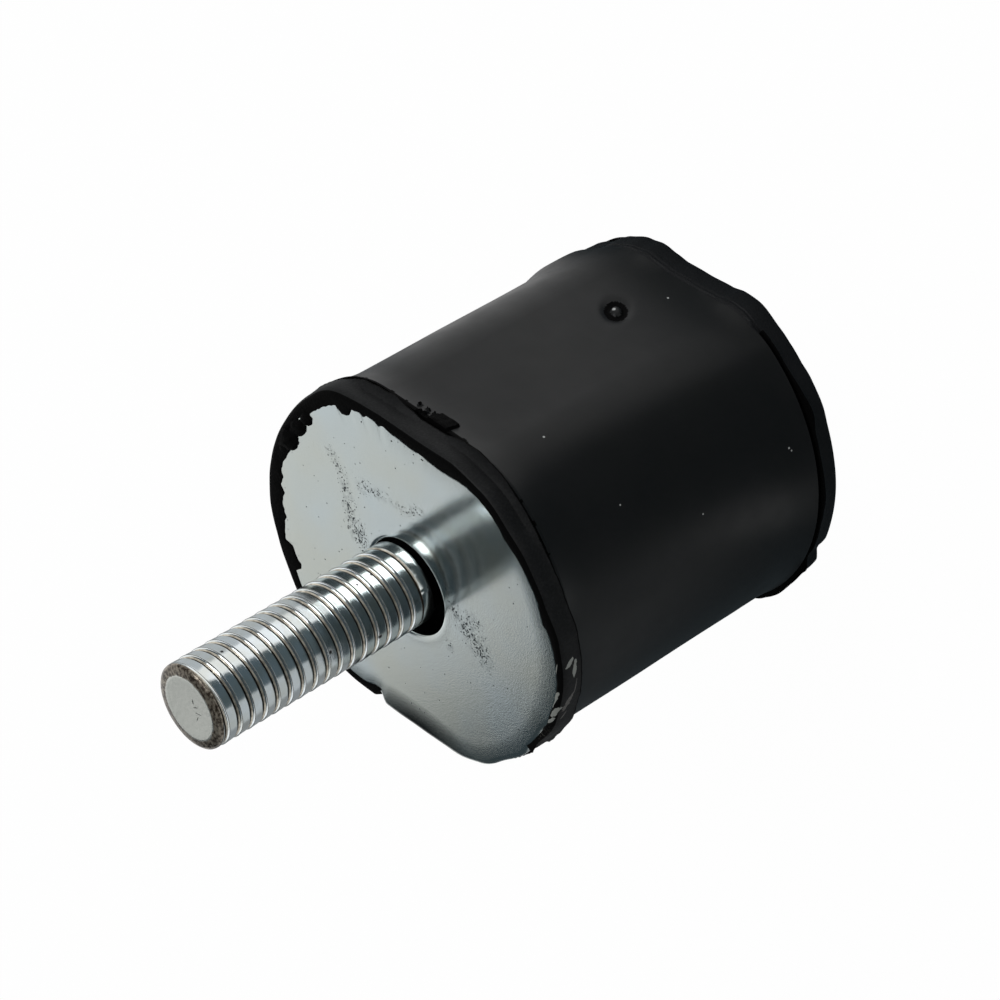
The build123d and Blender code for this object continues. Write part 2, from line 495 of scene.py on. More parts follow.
def open_ring(bm):
    """Join the two capped ends of a shell into a ring round a hole."""
    caps = [face for face in bm.faces if len(face.verts) > 4]
    bmesh.ops.delete(bm, geom=caps, context="FACES_ONLY")
    bmesh.ops.remove_doubles(bm, verts=bm.verts, dist=0.02)


def wind(profile, pitch, start, low, high):
    """Wind a thread's profile from one pitch to the next, and cut it flat at both levels."""
    first = start + math.floor((low - start) / pitch - 1) * pitch
    turns = math.ceil((high - first) / pitch) + 1
    bm = bmesh.new()
    line = [bm.verts.new((x, 0.0, first + z * pitch)) for x, z in profile]
    edges = [bm.edges.new(pair) for pair in zip(line, line[1:])]
    bmesh.ops.spin(
        bm,
        geom=line + edges,
        cent=(0.0, 0.0, 0.0),
        axis=(0.0, 0.0, 1.0),
        dvec=(0.0, 0.0, pitch / THREAD_STEPS),
        angle=math.tau,
        steps=THREAD_STEPS,
        use_merge=False,
    )
    one = bm.verts[:] + bm.edges[:] + bm.faces[:]
    for turn in range(1, turns):
        copy = bmesh.ops.duplicate(bm, geom=one)["geom"]
        verts = [part for part in copy if isinstance(part, bmesh.types.BMVert)]
        bmesh.ops.translate(bm, vec=(0.0, 0.0, turn * pitch), verts=verts)
    bmesh.ops.remove_doubles(bm, verts=bm.verts, dist=0.002)
    for level, side in ((low, -1.0), (high, 1.0)):
        bmesh.ops.bisect_plane(
            bm,
            geom=bm.verts[:] + bm.edges[:] + bm.faces[:],
            plane_co=(0.0, 0.0, level),
            plane_no=(0.0, 0.0, side),
            clear_outer=True,
        )
    return bm


def lathe_on(bm, level, rings):
    """Carry on from the open edge at a level through (radius, height, material) rings, and cap it."""
    edge = [
        part for part in bm.edges
        if part.is_boundary and all(abs(vert.co.z - level) < 0.01 for vert in part.verts)
    ]
    for radius, height, material in rings:
        made = bmesh.ops.extrude_edge_only(bm, edges=edge)["geom"]
        edge = [part for part in made if isinstance(part, bmesh.types.BMEdge)]
        for part in made:
            if isinstance(part, bmesh.types.BMFace):
                part.material_index = material
            elif isinstance(part, bmesh.types.BMVert):
                part.co.xy = part.co.xy.normalized() * radius
                part.co.z = height(math.atan2(part.co.y, part.co.x)) if callable(height) else height
    for face in bmesh.ops.contextual_create(bm, geom=edge)["faces"]:
        face.material_index = rings[-1][2]


def crumb(bm, place, half, turn, seed, material):
    """Add a rough blob with its centre and half sizes in mm, turned about Z in degrees."""
    shape = Matrix.LocRotScale(
        Vector(place), Quaternion((0.0, 0.0, 1.0), math.radians(turn)), Vector(half)
    )
    made = bmesh.ops.create_icosphere(bm, subdivisions=3, radius=1.0, matrix=shape)
    middle = Vector(place)
    for vert in made["verts"]:
        rough = noise.noise((vert.co - middle) * 5.0 + Vector((seed, 0.0, 0.0)))
        vert.co = middle + (vert.co - middle) * (1.0 + 0.3 * rough)
        for face in vert.link_faces:
            face.material_index = material


def finish_piece(bm, name, materials, node):
    """Turn a bmesh in millimetres into a piece in metres that replaces a CAD node."""
    bmesh.ops.remove_doubles(bm, verts=bm.verts, dist=0.0005)
    bmesh.ops.recalc_face_normals(bm, faces=bm.faces)
    bmesh.ops.scale(bm, vec=(0.001, 0.001, 0.001), verts=bm.verts)
    mesh = bpy.data.meshes.new(name)
    bm.to_mesh(mesh)
    bm.free()
    for polygon in mesh.polygons:
        polygon.use_smooth = True
    mesh.set_sharp_from_angle(angle=math.radians(SHARP_ANGLE))
    for material in materials:
        mesh.materials.append(material)
    piece = bpy.data.objects.new(name, mesh)
    bpy.context.scene.collection.objects.link(piece)
    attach(piece, "root")
    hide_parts(node)
    return piece


def flatted(radius, cut=0.0, corner=1.0, shift=(0.0, 0.0)):
    """A disc's outline in mm: its centre, its radius, how far its two flats lie out, and their rounding."""
    return (*shift, radius, radius - cut, corner)


def moved(side, by):
    """An offset round a ring, moved out by a distance."""
    return lambda angle: side(angle) + by


def halfway(side, other):
    """An offset midway between two others."""
    return lambda angle: (side(angle) + other(angle)) / 2


def bared(angle):
    """1 where the rubber is gone from the edge of the stud's plate, and 0 elsewhere."""
    return max(plateau(angle, 167.0, 200.0, 4.0), plateau(angle, -200.0, -122.0, 4.0))


def near_side(angle):
    """Offset of the stud end rim's side from its regular outline."""
    return follow(angle, NEAR_SIDE) + 0.03 * ripple(angle, 1.6, 3.1)


def near_wall(angle):
    """Offset of the stud end rim's side, drawn in behind the bared edge of the plate."""
    return near_side(angle) - 0.35 * bared(angle)


def near_edge(angle):
    """Offset of the torn flash behind the stud end rim."""
    fine = 0.05 * ripple(angle, 0.7, 5.7) + 0.04 * ripple(angle, 0.3, 2.7)
    return follow(angle, NEAR_EDGE) + fine - 0.35 * bared(angle)


def sunk(level, rough=0.0):
    """A level on the stud end rim that drops where the plate's edge is bared, with roughness in mm."""
    def height(angle):
        top = level + rough * ripple(angle, 1.1, 6.6)
        return top - (top - BARED_RIM) * bared(angle)

    return height


def creep(angle):
    """Offset of the torn lip that creeps over the stud's plate."""
    fine = 0.05 * ripple(angle, 0.3, 1.3) + 0.07 * max(ripple(angle, 0.22, 2.6) - 0.1, 0.0)
    return follow(angle, LIP_EDGE) - fine


def dipped(level, depth):
    """A level under the stud end's parting line, which dips by a depth beside the +X flat."""
    return lambda angle: level - depth * plateau(angle, 16.0, 70.0, 10.0)


def is_flap(angle, level):
    """Tell whether the flap of torn rubber, or one of the crumbs beside it, lies at a place."""
    at = math.degrees(angle)
    low = 22.85 + 0.12 * ripple(angle, 0.5, 4.1) + 0.5 * plateau(angle, 0.5, 9.0, 1.0)
    crumbs = 1.0 < at < 8.5 and level > 23.2 and ripple(angle, 0.2, level * 3) > 0.22
    return crumbs or (-7.4 < at < 1.0 and level > low)


def flap(angle, level):
    """Height of the flap of torn rubber over the waist."""
    return (0.2 + 0.06 * ripple(angle, 0.4, level * 2)) * is_flap(angle, level)


def is_shadowed(angle, level):
    """Tell whether a place lies in the band under the stud end's parting line that is painted black as
    shade.
    """
    wide = 0.36 * plateau(angle, -17.0, 48.0, 7.0) + 0.1 * ripple(angle, 0.5, 7.9)
    return level > 24.02 - wide


def near_flare(level):
    """How far the waist stands out at a level as it runs up to the stud end's parting line."""
    return 0.42 * ((level - 21.2) / 2.8) ** 2.2


def far_side(angle):
    """Offset of the tapped end rim's side from its regular outline."""
    return follow(angle, FAR_SIDE) + 0.03 * ripple(angle, 2.2, 8.3)


def ungrooved(angle):
    """1 where the waist runs into the tapped end rim without a groove, and 0 elsewhere."""
    return plateau(angle, -31.0, 66.0, 12.0)


def far_edge(angle):
    """Offset of the torn flash behind the tapped end rim."""
    torn = 0.08 + lumps(angle, FAR_FLASH) + 0.05 * ripple(angle, 0.9, 9.9)
    return far_side(angle) + torn * (1 - ungrooved(angle))


def far_groove(depth):
    """Offset of the groove at the tapped end's parting line, for its depth."""
    return lambda angle: -depth * (1 - ungrooved(angle)) + (0.2 + far_side(angle)) * ungrooved(angle)


def far_flare(level):
    """Offset of the waist at a level as it runs down to the tapped end rim, with a ledge on one side."""
    part = min(max((4.0 - level) / 2.4, 0.0), 1.0)
    ledge = 0.3 * plateau(math.radians(level), 2.0, 5.4, 1.4) * (1 - part**3)

    def offset(angle):
        plain = 0.22 * part**2.2 * (1 - ungrooved(angle))
        run_in = (0.2 + far_side(angle)) * part**3 * ungrooved(angle)
        return plain + run_in + ledge * plateau(angle, 38.0, 80.0, 10.0)

    return offset


def from_gate(y, z):
    """Distance from the gate mark's centre, as a share of its half size. It lies at 45 degrees."""
    along, across = (y - GATE_Y) - (z - GATE_Z), (y - GATE_Y) + (z - GATE_Z)
    return math.hypot(along / GATE_LONG, across / GATE_SHORT)


def gate(angle, level, flat):
    """Height of the sunk gate mark with its pip, on the +X flat at its distance from the axis."""
    if abs(math.remainder(angle, math.tau)) > 0.3:
        return 0.0
    away = from_gate(flat * math.tan(angle), level)
    return GATE_PIP * math.exp(-((away / PIP_SHARE) ** 4)) - GATE_DEPTH * math.exp(-(away**4))


def wave(angle, level):
    """Slight unevenness of the waist."""
    return 0.03 * noise.noise(Vector((3 * math.cos(angle), 3 * math.sin(angle), level / 6)))


def plug(tree, node, inputs):
    """Set or link the inputs that a node has in use, by name or in order. A colour is three numbers."""
    live = [socket for socket in node.inputs if socket.enabled]
    named = {socket.name: socket for socket in live}
    for key, value in inputs.items() if isinstance(inputs, dict) else enumerate(inputs):
        socket = live[key] if isinstance(key, int) else named[key]
        if isinstance(value, bpy.types.NodeSocket):
            tree.links.new(value, socket)
        elif socket.type == "RGBA":
            socket.default_value = (*value, 1.0)
        else:
            socket.default_value = value


def add_node(tree, kind, inputs=(), output=0, **settings):
    """Add a node with its settings and inputs, and return an output by name, or in order of those in use."""
    made = tree.nodes.new("ShaderNode" + kind)
    for name, value in settings.items():
        setattr(made, name, value)
    plug(tree, made, inputs)
    if isinstance(output, str):
        return made.outputs[output]
    return [socket for socket in made.outputs if socket.enabled][output]


def new_material(name):
    """Start a material, and return it with its tree, its shader and Object coordinates in mm."""
    material = bpy.data.materials.new(name)
    material.use_nodes = True
    tree = material.node_tree
    place = add_node(tree, "TexCoord", output="Object")
    place = add_node(tree, "Mapping", {"Vector": place, "Scale": (1000.0, 1000.0, 1000.0)})
    return material, tree, tree.nodes["Principled BSDF"], place


def smudge(tree, place, centre, half, turn=0.0, tilt=0.0):
    """Factor that is 1 at a spot's centre and 0 outside its half sizes, in mm, turned in degrees."""
    turned = (0.0, math.radians(tilt), math.radians(turn))
    spot = add_node(
        tree,
        "Mapping",
        {"Vector": place, "Location": centre, "Rotation": turned, "Scale": half},
        vector_type="TEXTURE",
    )
    return add_node(tree, "TexGradient", (spot,), "Fac", gradient_type="SPHERICAL")


def smudges(tree, place, spots):
    """Add up smudges to 1 at most, each given as its centre, half sizes, turn and tilt."""
    total = smudge(tree, place, *spots[0])
    for spot in spots[1:]:
        one = smudge(tree, place, *spot)
        total = add_node(tree, "Math", (total, one), operation="ADD", use_clamp=True)
    return total


def dots(tree, place, rows):
    """Factor that is 1 in the middle of round dots, each given as X, Y, Z and radius in mm."""
    spots = smudges(tree, place, [((x, y, z), (size, size, size)) for x, y, z, size in rows])
    return add_node(tree, "MapRange", (spots, 0.1, 0.5))


def speckle(tree, place, scale, low, high, detail=2.0):
    """Noise with features of about 1 / scale mm, cut to specks between two levels."""
    grain = add_node(tree, "TexNoise", {"Vector": place, "Scale": scale, "Detail": detail})
    return add_node(tree, "MapRange", (grain, low, high))


def rubber_skin(settings):
    """Natural rubber, moulded against polished steel: a satin black skin. Dust lies on it in a few pale
    specks, and a pale dot on the gate mark's pip is a painted highlight.

    Clouds of 5 mm and a haze of 2 mm. The grain of 0.25 mm is coarser than the real one, so that it shows.
    """
    material, tree, shader, place = new_material("moulded_black_rubber")
    clouds = add_node(tree, "TexNoise", {"Vector": place, "Scale": 0.18, "Detail": 3.0})
    tone = add_node(tree, "Mix", (clouds, settings.skin_colour, srgb("#131413")), data_type="RGBA")
    # The last dot is a painted highlight on the gate mark's pip
    dust_and_glint = dots(tree, place, DUST_AND_GLINT)
    haze = add_node(tree, "TexNoise", {"Vector": place, "Scale": 0.5, "Detail": 4.0})
    grain = add_node(tree, "TexNoise", {"Vector": place, "Scale": 4.0, "Detail": 4.0})
    plug(tree, shader, {
        "Base Color": add_node(tree, "Mix", (dust_and_glint, tone, srgb("#b4b6b4")), data_type="RGBA"),
        "Specular IOR Level": 0.22,
        "Roughness": add_node(tree, "MapRange", (haze, 0.3, 0.7, 0.4, 0.47)),
        "Normal": add_node(tree, "Bump", {"Height": grain, "Strength": 0.12, "Distance": 0.00002}),
    })
    return material


def flaked(tree, place, tone):
    """Lay the dull and the pale flakes of peeling rubber over a colour, and return it with their share.

    Their edges are torn at 0.3 mm.
    """
    torn = add_node(tree, "TexNoise", {"Vector": place, "Scale": 3.0, "Detail": 4.0})
    rough = add_node(tree, "MapRange", (torn, 0.3, 0.7, -0.25, 0.25))
    shares = []
    for flakes, colour in ((DULL_FLAKES, "#5c5956"), (LIGHT_FLAKES, "#8f918c")):
        spots = smudges(tree, place, flakes)
        edge = add_node(tree, "Math", (spots, rough), operation="ADD")
        edge = add_node(tree, "MapRange", (edge, 0.22, 0.3))
        inside = add_node(tree, "MapRange", (spots, 0.01, 0.05))
        shares.append(add_node(tree, "Math", (edge, inside), operation="MULTIPLY"))
        tone = add_node(tree, "Mix", (shares[-1], tone, srgb(colour)), data_type="RGBA")
    return tone, add_node(tree, "Math", shares, operation="ADD", use_clamp=True)


def rubber_rim(settings):
    """Natural rubber, squeezed thin round a plate's edge: duller, finely speckled, peeled pale in places.

    Specks of 0.14 mm. The far rim kept more of the mould's smooth skin, and its colour blends to that.
    """
    material, tree, shader, place = new_material("dull_rim_rubber")
    fine = add_node(tree, "TexNoise", {"Vector": place, "Scale": 7.0, "Detail": 3.0})
    spread = add_node(tree, "MapRange", (fine, 0.42, 0.7))
    tone = add_node(tree, "Mix", (spread, settings.rim_colour, srgb("#151617")), data_type="RGBA")
    level = add_node(tree, "SeparateXYZ", (place,), "Z")
    far = add_node(tree, "MapRange", (level, 2.0, 4.0, 0.75, 0.0))
    tone = add_node(tree, "Mix", (far, tone, settings.skin_colour), data_type="RGBA")
    tone, peeled = flaked(tree, place, tone)
    plug(tree, shader, {
        "Base Color": tone,
        "Specular IOR Level": 0.22,
        "Roughness": add_node(tree, "MapRange", (peeled, 0.0, 1.0, 0.6, 0.45)),
        "Normal": add_node(tree, "Bump", {"Height": fine, "Strength": 0.5, "Distance": 0.00005}),
    })
    return material


def rubber_lip_and_shade(settings):
    """Natural rubber, torn flash and lip: deep black, broken up, and scraped pale where it peels. The same
    black is painted shade in the grooves at both parting lines, in the band under the stud end's parting
    line and in the ring round the gate's pip.

    The tear is rough at 0.2 mm, and a patch of 0.17 mm grit lies on its -Y side.
    """
    material, tree, shader, place = new_material("torn_black_rubber_and_shade")
    patch = smudge(tree, place, (-4.2, -12.6, 25.5), (2.6, 1.2, 1.2), 20.0)
    patch = add_node(tree, "MapRange", (patch, 0.0, 0.4))
    specks = speckle(tree, place, 6.0, 0.55, 0.7)
    grit = add_node(tree, "Math", (patch, specks), operation="MULTIPLY")
    tone = add_node(tree, "Mix", (grit, settings.lip_and_shade_colour, srgb("#3b3a36")), data_type="RGBA")
    tone, _ = flaked(tree, place, tone)
    torn = add_node(tree, "TexNoise", {"Vector": place, "Scale": 5.0, "Detail": 5.0})
    plug(tree, shader, {
        "Base Color": tone,
        "Specular IOR Level": 0.04,
        "Roughness": 0.75,
        "Normal": add_node(tree, "Bump", {"Height": torn, "Strength": 0.6, "Distance": 0.00006}),
    })
    return material


def zinc_plate(settings):
    """Steel sheet, blue bright zinc plated: a pale mirror softened by orange peel, scuffed and pitted.

    Clouds of 6 mm, scuff grain of 0.15 mm over rubbed patches of 0.5 mm, sparse pits 0.1 mm across, and
    an orange peel of 0.13 mm.
    """
    material, tree, shader, place = new_material("blue_bright_zinc_sheet")
    clouds = speckle(tree, place, 0.16, 0.35, 0.65)
    tone = add_node(tree, "Mix", (clouds, settings.zinc_colour, srgb("#cbcfc8")), data_type="RGBA")
    scuffs = smudges(tree, place, [
        ((x, y, HEIGHT), (length, width, 3.0), turn) for x, y, length, width, turn in SCUFFS
    ])
    grain = add_node(tree, "TexNoise", {"Vector": place, "Scale": 6.5, "Detail": 2.0})
    dense = add_node(tree, "Math", (scuffs, 0.12, grain), operation="MULTIPLY_ADD")
    dense = add_node(tree, "MapRange", (dense, 0.65, 0.73))
    inside = add_node(tree, "MapRange", (scuffs, 0.0, 0.05))
    worn = add_node(tree, "Math", (dense, inside), operation="MULTIPLY")
    pits = add_node(tree, "TexVoronoi", {"Vector": place, "Scale": 1.8, "Randomness": 1.0})
    pits = add_node(tree, "MapRange", (pits, 0.05, 0.12, 1.0, 0.0))
    few = speckle(tree, place, 1.4, 0.48, 0.56)
    pitted = add_node(tree, "Math", (pits, few), operation="MULTIPLY")
    marked = add_node(tree, "Math", (worn, pitted), operation="ADD", use_clamp=True)
    # The plate is darker along its bared edge on the -X side
    darker_edge = smudge(tree, place, (-11.2, -1.7, HEIGHT), (2.1, 5.6, 3.0))
    darker_edge = add_node(tree, "MapRange", (darker_edge, 0.0, 0.8, 0.0, 0.9))
    tone = add_node(tree, "Mix", (darker_edge, tone, srgb("#20221e")), data_type="RGBA")
    rubbed = add_node(tree, "MapRange", (scuffs, 0.0, 0.9, 0.0, 0.5))
    patches = speckle(tree, place, 2.2, 0.42, 0.7, 4.0)
    rubbed = add_node(tree, "Math", (rubbed, patches), operation="MULTIPLY")
    tone = add_node(tree, "Mix", (rubbed, tone, srgb("#6d7475")), data_type="RGBA")
    peel = add_node(tree, "TexNoise", {"Vector": place, "Scale": 8.0, "Detail": 2.0})
    plug(tree, shader, {
        "Base Color": add_node(tree, "Mix", (marked, tone, srgb("#3d4446")), data_type="RGBA"),
        "Metallic": 1.0,
        "Roughness": add_node(tree, "MapRange", (marked, 0.0, 1.0, 0.16, 0.45)),
        "Normal": add_node(tree, "Bump", {"Height": peel, "Strength": 0.25, "Distance": 0.00001}),
    })
    return material


def zinc_thread(settings):
    """Rolled thread, blue bright zinc plated: bluish, almost a mirror, with a few black specks.

    Clouds of 1.2 mm, and an orange peel of 0.2 mm that is coarser than the real one, so that it shows.
    """
    material, tree, shader, place = new_material("blue_bright_zinc_thread")
    clouds = speckle(tree, place, 0.8, 0.4, 0.65, 3.0)
    tone = add_node(tree, "Mix", (clouds, settings.stud_colour, srgb("#dfe3df")), data_type="RGBA")
    specks = dots(tree, place, SPECKS)
    peel = add_node(tree, "TexNoise", {"Vector": place, "Scale": 5.0, "Detail": 3.0})
    plug(tree, shader, {
        "Base Color": add_node(tree, "Mix", (specks, tone, srgb("#1c1d1e")), data_type="RGBA"),
        "Metallic": add_node(tree, "MapRange", (specks, 0.0, 1.0, 1.0, 0.2)),
        "Roughness": add_node(tree, "MapRange", (specks, 0.0, 1.0, 0.17, 0.5)),
        "Normal": add_node(tree, "Bump", {"Height": peel, "Strength": 0.1, "Distance": 0.000015}),
    })
    return material


def patchy(name, scale, colours, values):
    """Make a material that changes between two colours in patches of about 1 / scale mm."""
    material, tree, shader, place = new_material(name)
    patches = speckle(tree, place, scale, 0.4, 0.62, 4.0)
    tone = add_node(tree, "Mix", (patches, *colours), data_type="RGBA")
    plug(tree, shader, {"Base Color": tone, **values})
    return material


def thread_edge_highlight():
    """Painted highlight along the edge of each turn of the thread: creamy zinc, half dull.

    Its tone changes in patches of 0.3 mm.
    """
    colours = (srgb("#d9d2c2"), srgb("#a79f90"))
    return patchy("thread_edge_painted_highlight", 3.0, colours, {"Metallic": 0.75, "Roughness": 0.3})


def thread_grime_and_shade(settings):
    """Brown film of dirt and old oil, dried in the groove between two turns of the thread. The same brown is
    painted shade in that groove and in the thin line in the crease after each crest.

    It is darker in patches of 0.5 mm.
    """
    colours = (settings.grime_and_shade_colour, srgb("#1e1b17"))
    values = {"Metallic": 0.3, "Roughness": 0.5, "Specular IOR Level": 0.2}
    return patchy("brown_thread_grime_and_shade", 2.0, colours, values)


def sheared_end(tip_level):
    """Steel, sheared at the stud's tip and thinly plated: dull greenish grey, scratched, grimy at its edge.

    The tear is rough at 0.3 mm, and the brown dirt round it is speckled at 0.2 mm.
    """
    material, tree, shader, place = new_material("sheared_steel_end")
    flat = add_node(tree, "VectorMath", (place, (1.0, 1.0, 0.0)), operation="MULTIPLY")
    radius = add_node(tree, "VectorMath", (flat,), operation="LENGTH")
    torn = add_node(tree, "TexNoise", {"Vector": place, "Scale": 3.0, "Detail": 4.0})
    ragged = add_node(tree, "MapRange", (torn, 0.3, 0.7, -0.05, 0.05))
    radius = add_node(tree, "Math", (radius, ragged), operation="ADD")
    rim = add_node(tree, "MapRange", (radius, TIP_RADIUS - 0.02, TIP_RADIUS + 0.06))
    specks = speckle(tree, place, 4.5, 0.4, 0.62, 4.0)
    brown = add_node(tree, "Mix", (specks, srgb("#3a3026"), srgb("#938a7c")), data_type="RGBA")
    scratches = smudges(tree, place, [
        ((x, y, tip_level), (length, width, 1.0), turn) for x, y, length, width, turn in SCRATCHES
    ])
    scratches = add_node(tree, "MapRange", (scratches, 0.2, 0.6))
    tone = add_node(tree, "Mix", (scratches, srgb("#dfe0d8"), srgb("#5f605c")), data_type="RGBA")
    plug(tree, shader, {
        "Base Color": add_node(tree, "Mix", (rim, tone, brown), data_type="RGBA"),
        "Metallic": add_node(tree, "MapRange", (rim, 0.0, 1.0, 1.0, 0.5)),
        "Roughness": 0.26,
        "Normal": add_node(tree, "Bump", {"Height": torn, "Strength": 0.2, "Distance": 0.00003}),
    })
    return material


def black_film_and_gap_shade():
    """Rubber film that crept up the stud's neck in the plate's hole, made deep black and dull as painted
    shade; on the head's face down in the hole it is painted shade only.

    Its tone changes in patches of 0.3 mm.
    """
    material, tree, shader, place = new_material("black_rubber_film_and_gap_shade")
    patches = speckle(tree, place, 3.0, 0.4, 0.6)
    tone = add_node(tree, "Mix", (patches, srgb("#030303"), srgb("#070707")), data_type="RGBA")
    plug(tree, shader, {"Base Color": tone, "Roughness": 0.9, "Specular IOR Level": 0.05})
    return material


class BUFFER_OT_rubber_body(bpy.types.Operator):
    """Make the moulded rubber with its rims, grooves, torn flash and gate mark"""

    bl_idname = "buffer.rubber_body"
    bl_label = "Rubber Body"

    def execute(self, context):
        rubber = context.scene.buffer_rubber
        plate_radius = mm(context.scene.buffer_steel.plate_radius)
        head = flatted(HEAD_RADIUS)
        bush = flatted(BUSH_RADIUS)
        far_plate = flatted(plate_radius, PLATE_FLAT, PLATE_CORNER)
        near_plate = flatted(plate_radius, PLATE_FLAT, PLATE_CORNER, NEAR_PLATE_SHIFT)
        waist = flatted(mm(rubber.waist_radius), WAIST_FLAT, RUBBER_CORNER)
        near_rim = flatted(mm(rubber.near_rim_radius), NEAR_RIM_FLAT, RUBBER_CORNER, NEAR_RIM_SHIFT)
        far_rim = flatted(mm(rubber.far_rim_radius), FAR_RIM_FLAT, RUBBER_CORNER)
        flat = waist[3]
        skin, rim, lip = 0, 1, 2

        stations = [
            (bush, 0.0, BUSH_TOP, skin),
            (bush, 0.0, PLATE, skin),
            (far_plate, 0.0, PLATE, skin),
            (far_plate, 0.0, 0.05, lip),
            (far_plate, 0.08, 0.0, lip),
            (far_rim, moved(far_side, -0.35), 0.0, lip),
            (far_rim, moved(far_side, -0.17), 0.05, lip),
            (far_rim, moved(far_side, -0.05), 0.17, rim),
            (far_rim, far_side, 0.4, rim),
            (far_rim, moved(far_side, 0.02), 0.9, rim),
            (far_rim, halfway(far_side, far_edge), 1.3, rim),
            (far_rim, far_edge, 1.42, rim),
            (far_rim, far_edge, 1.56, lip),
            # Painted shade: the groove behind the tapped end rim takes the black lip rubber
            (waist, far_groove(0.2), 1.6, lip),
            (waist, far_groove(0.25), 1.68, lip),
            (waist, far_groove(0.2), 1.8, lip),
        ]
        for level in (1.86, 2.0, 2.2, 2.5, 2.8, 3.1, 3.5, 4.0, 4.4, 4.8, 5.2, 5.6):
            stations.append((waist, far_flare(level), level, skin))
        beside_gate = [6.05 + 0.08 * step for step in range(30)]
        for level in [5.9, *beside_gate, 8.7, 9.5, 11.0, 13.0, 15.0, 17.0, 19.0, 21.0]:
            stations.append((waist, lambda a, z=level: wave(a, z) + gate(a, z, flat), level, skin))
        for level in [21.6, 22.0, 22.4] + [22.6 + 0.1 * step for step in range(14)]:
            stations.append((waist, lambda a, z=level: near_flare(z) + flap(a, z), level, skin))
        stations += [
            (waist, lambda a: 0.38 + flap(a, 24.0), dipped(24.04, 0.22), skin),
            # Painted shade: the groove under the stud end's parting line takes the black lip rubber, as do
            # the flap and the torn flash
            (waist, lambda a: -0.1 + 0.3 * is_flap(a, 24.0), dipped(24.08, 0.2), lip),
            (waist, -0.25, 24.18, lip),
            (waist, -0.2, 24.3, lip),
            (near_rim, near_edge, 24.36, lip),
            (near_rim, moved(near_edge, 0.02), 24.46, lip),
            (near_rim, halfway(near_wall, near_edge), 24.54, rim),
            (near_rim, near_wall, 24.75, rim),
            (near_rim, near_wall, 25.1, rim),
            (near_rim, near_wall, sunk(25.5), rim),
            (near_rim, moved(near_wall, -0.03), sunk(25.68), rim),
            (near_rim, moved(near_wall, -0.12), sunk(25.84), rim),
            (near_rim, moved(near_wall, -0.27), sunk(25.93), lip),
            (near_rim, moved(near_wall, -0.42), sunk(25.96), lip),
            (near_plate, moved(creep, 0.12), sunk(25.96, 0.03), lip),
            (near_plate, moved(creep, 0.03), sunk(25.94, 0.03), lip),
            (near_plate, creep, sunk(25.86), lip),
            (near_plate, 0.0, sunk(25.7), lip),
            (near_plate, 0.0, NEAR_PARTING, skin),
            (head, 0.0, NEAR_PARTING, skin),
            (head, 0.0, HEAD_BOTTOM, skin),
        ]
        bm = grow(stations)

        for face in bm.faces:
            middle = face.calc_center_median()
            angle = math.atan2(middle.y, middle.x)
            under_parting = 22.5 < middle.z < 24.05
            if 1.2 < middle.z < 1.95 and ungrooved(angle) > 0.5:
                face.material_index = rim
            # Painted shade: the ring round the gate's pip takes the black lip rubber
            elif middle.x > 0 and PIP_SHARE < from_gate(middle.y, middle.z) < SHADED_RING_SHARE:
                face.material_index = lip
            # Painted shade: the band under the stud end's parting line takes the black lip rubber, as the
            # flap does
            elif under_parting and (is_flap(angle, middle.z) or is_shadowed(angle, middle.z)):
                face.material_index = lip
        for seed, (x, y, long, wide, turn) in enumerate(CRUMBS):
            crumb(bm, (x, y, HEIGHT), (long, wide, min(long, wide) * 0.45), turn, seed, lip)
        finish_piece(
            bm,
            "moulded_rubber",
            [rubber_skin(rubber), rubber_rim(rubber), rubber_lip_and_shade(rubber)],
            "rubber_body",
        )
        return {"FINISHED"}


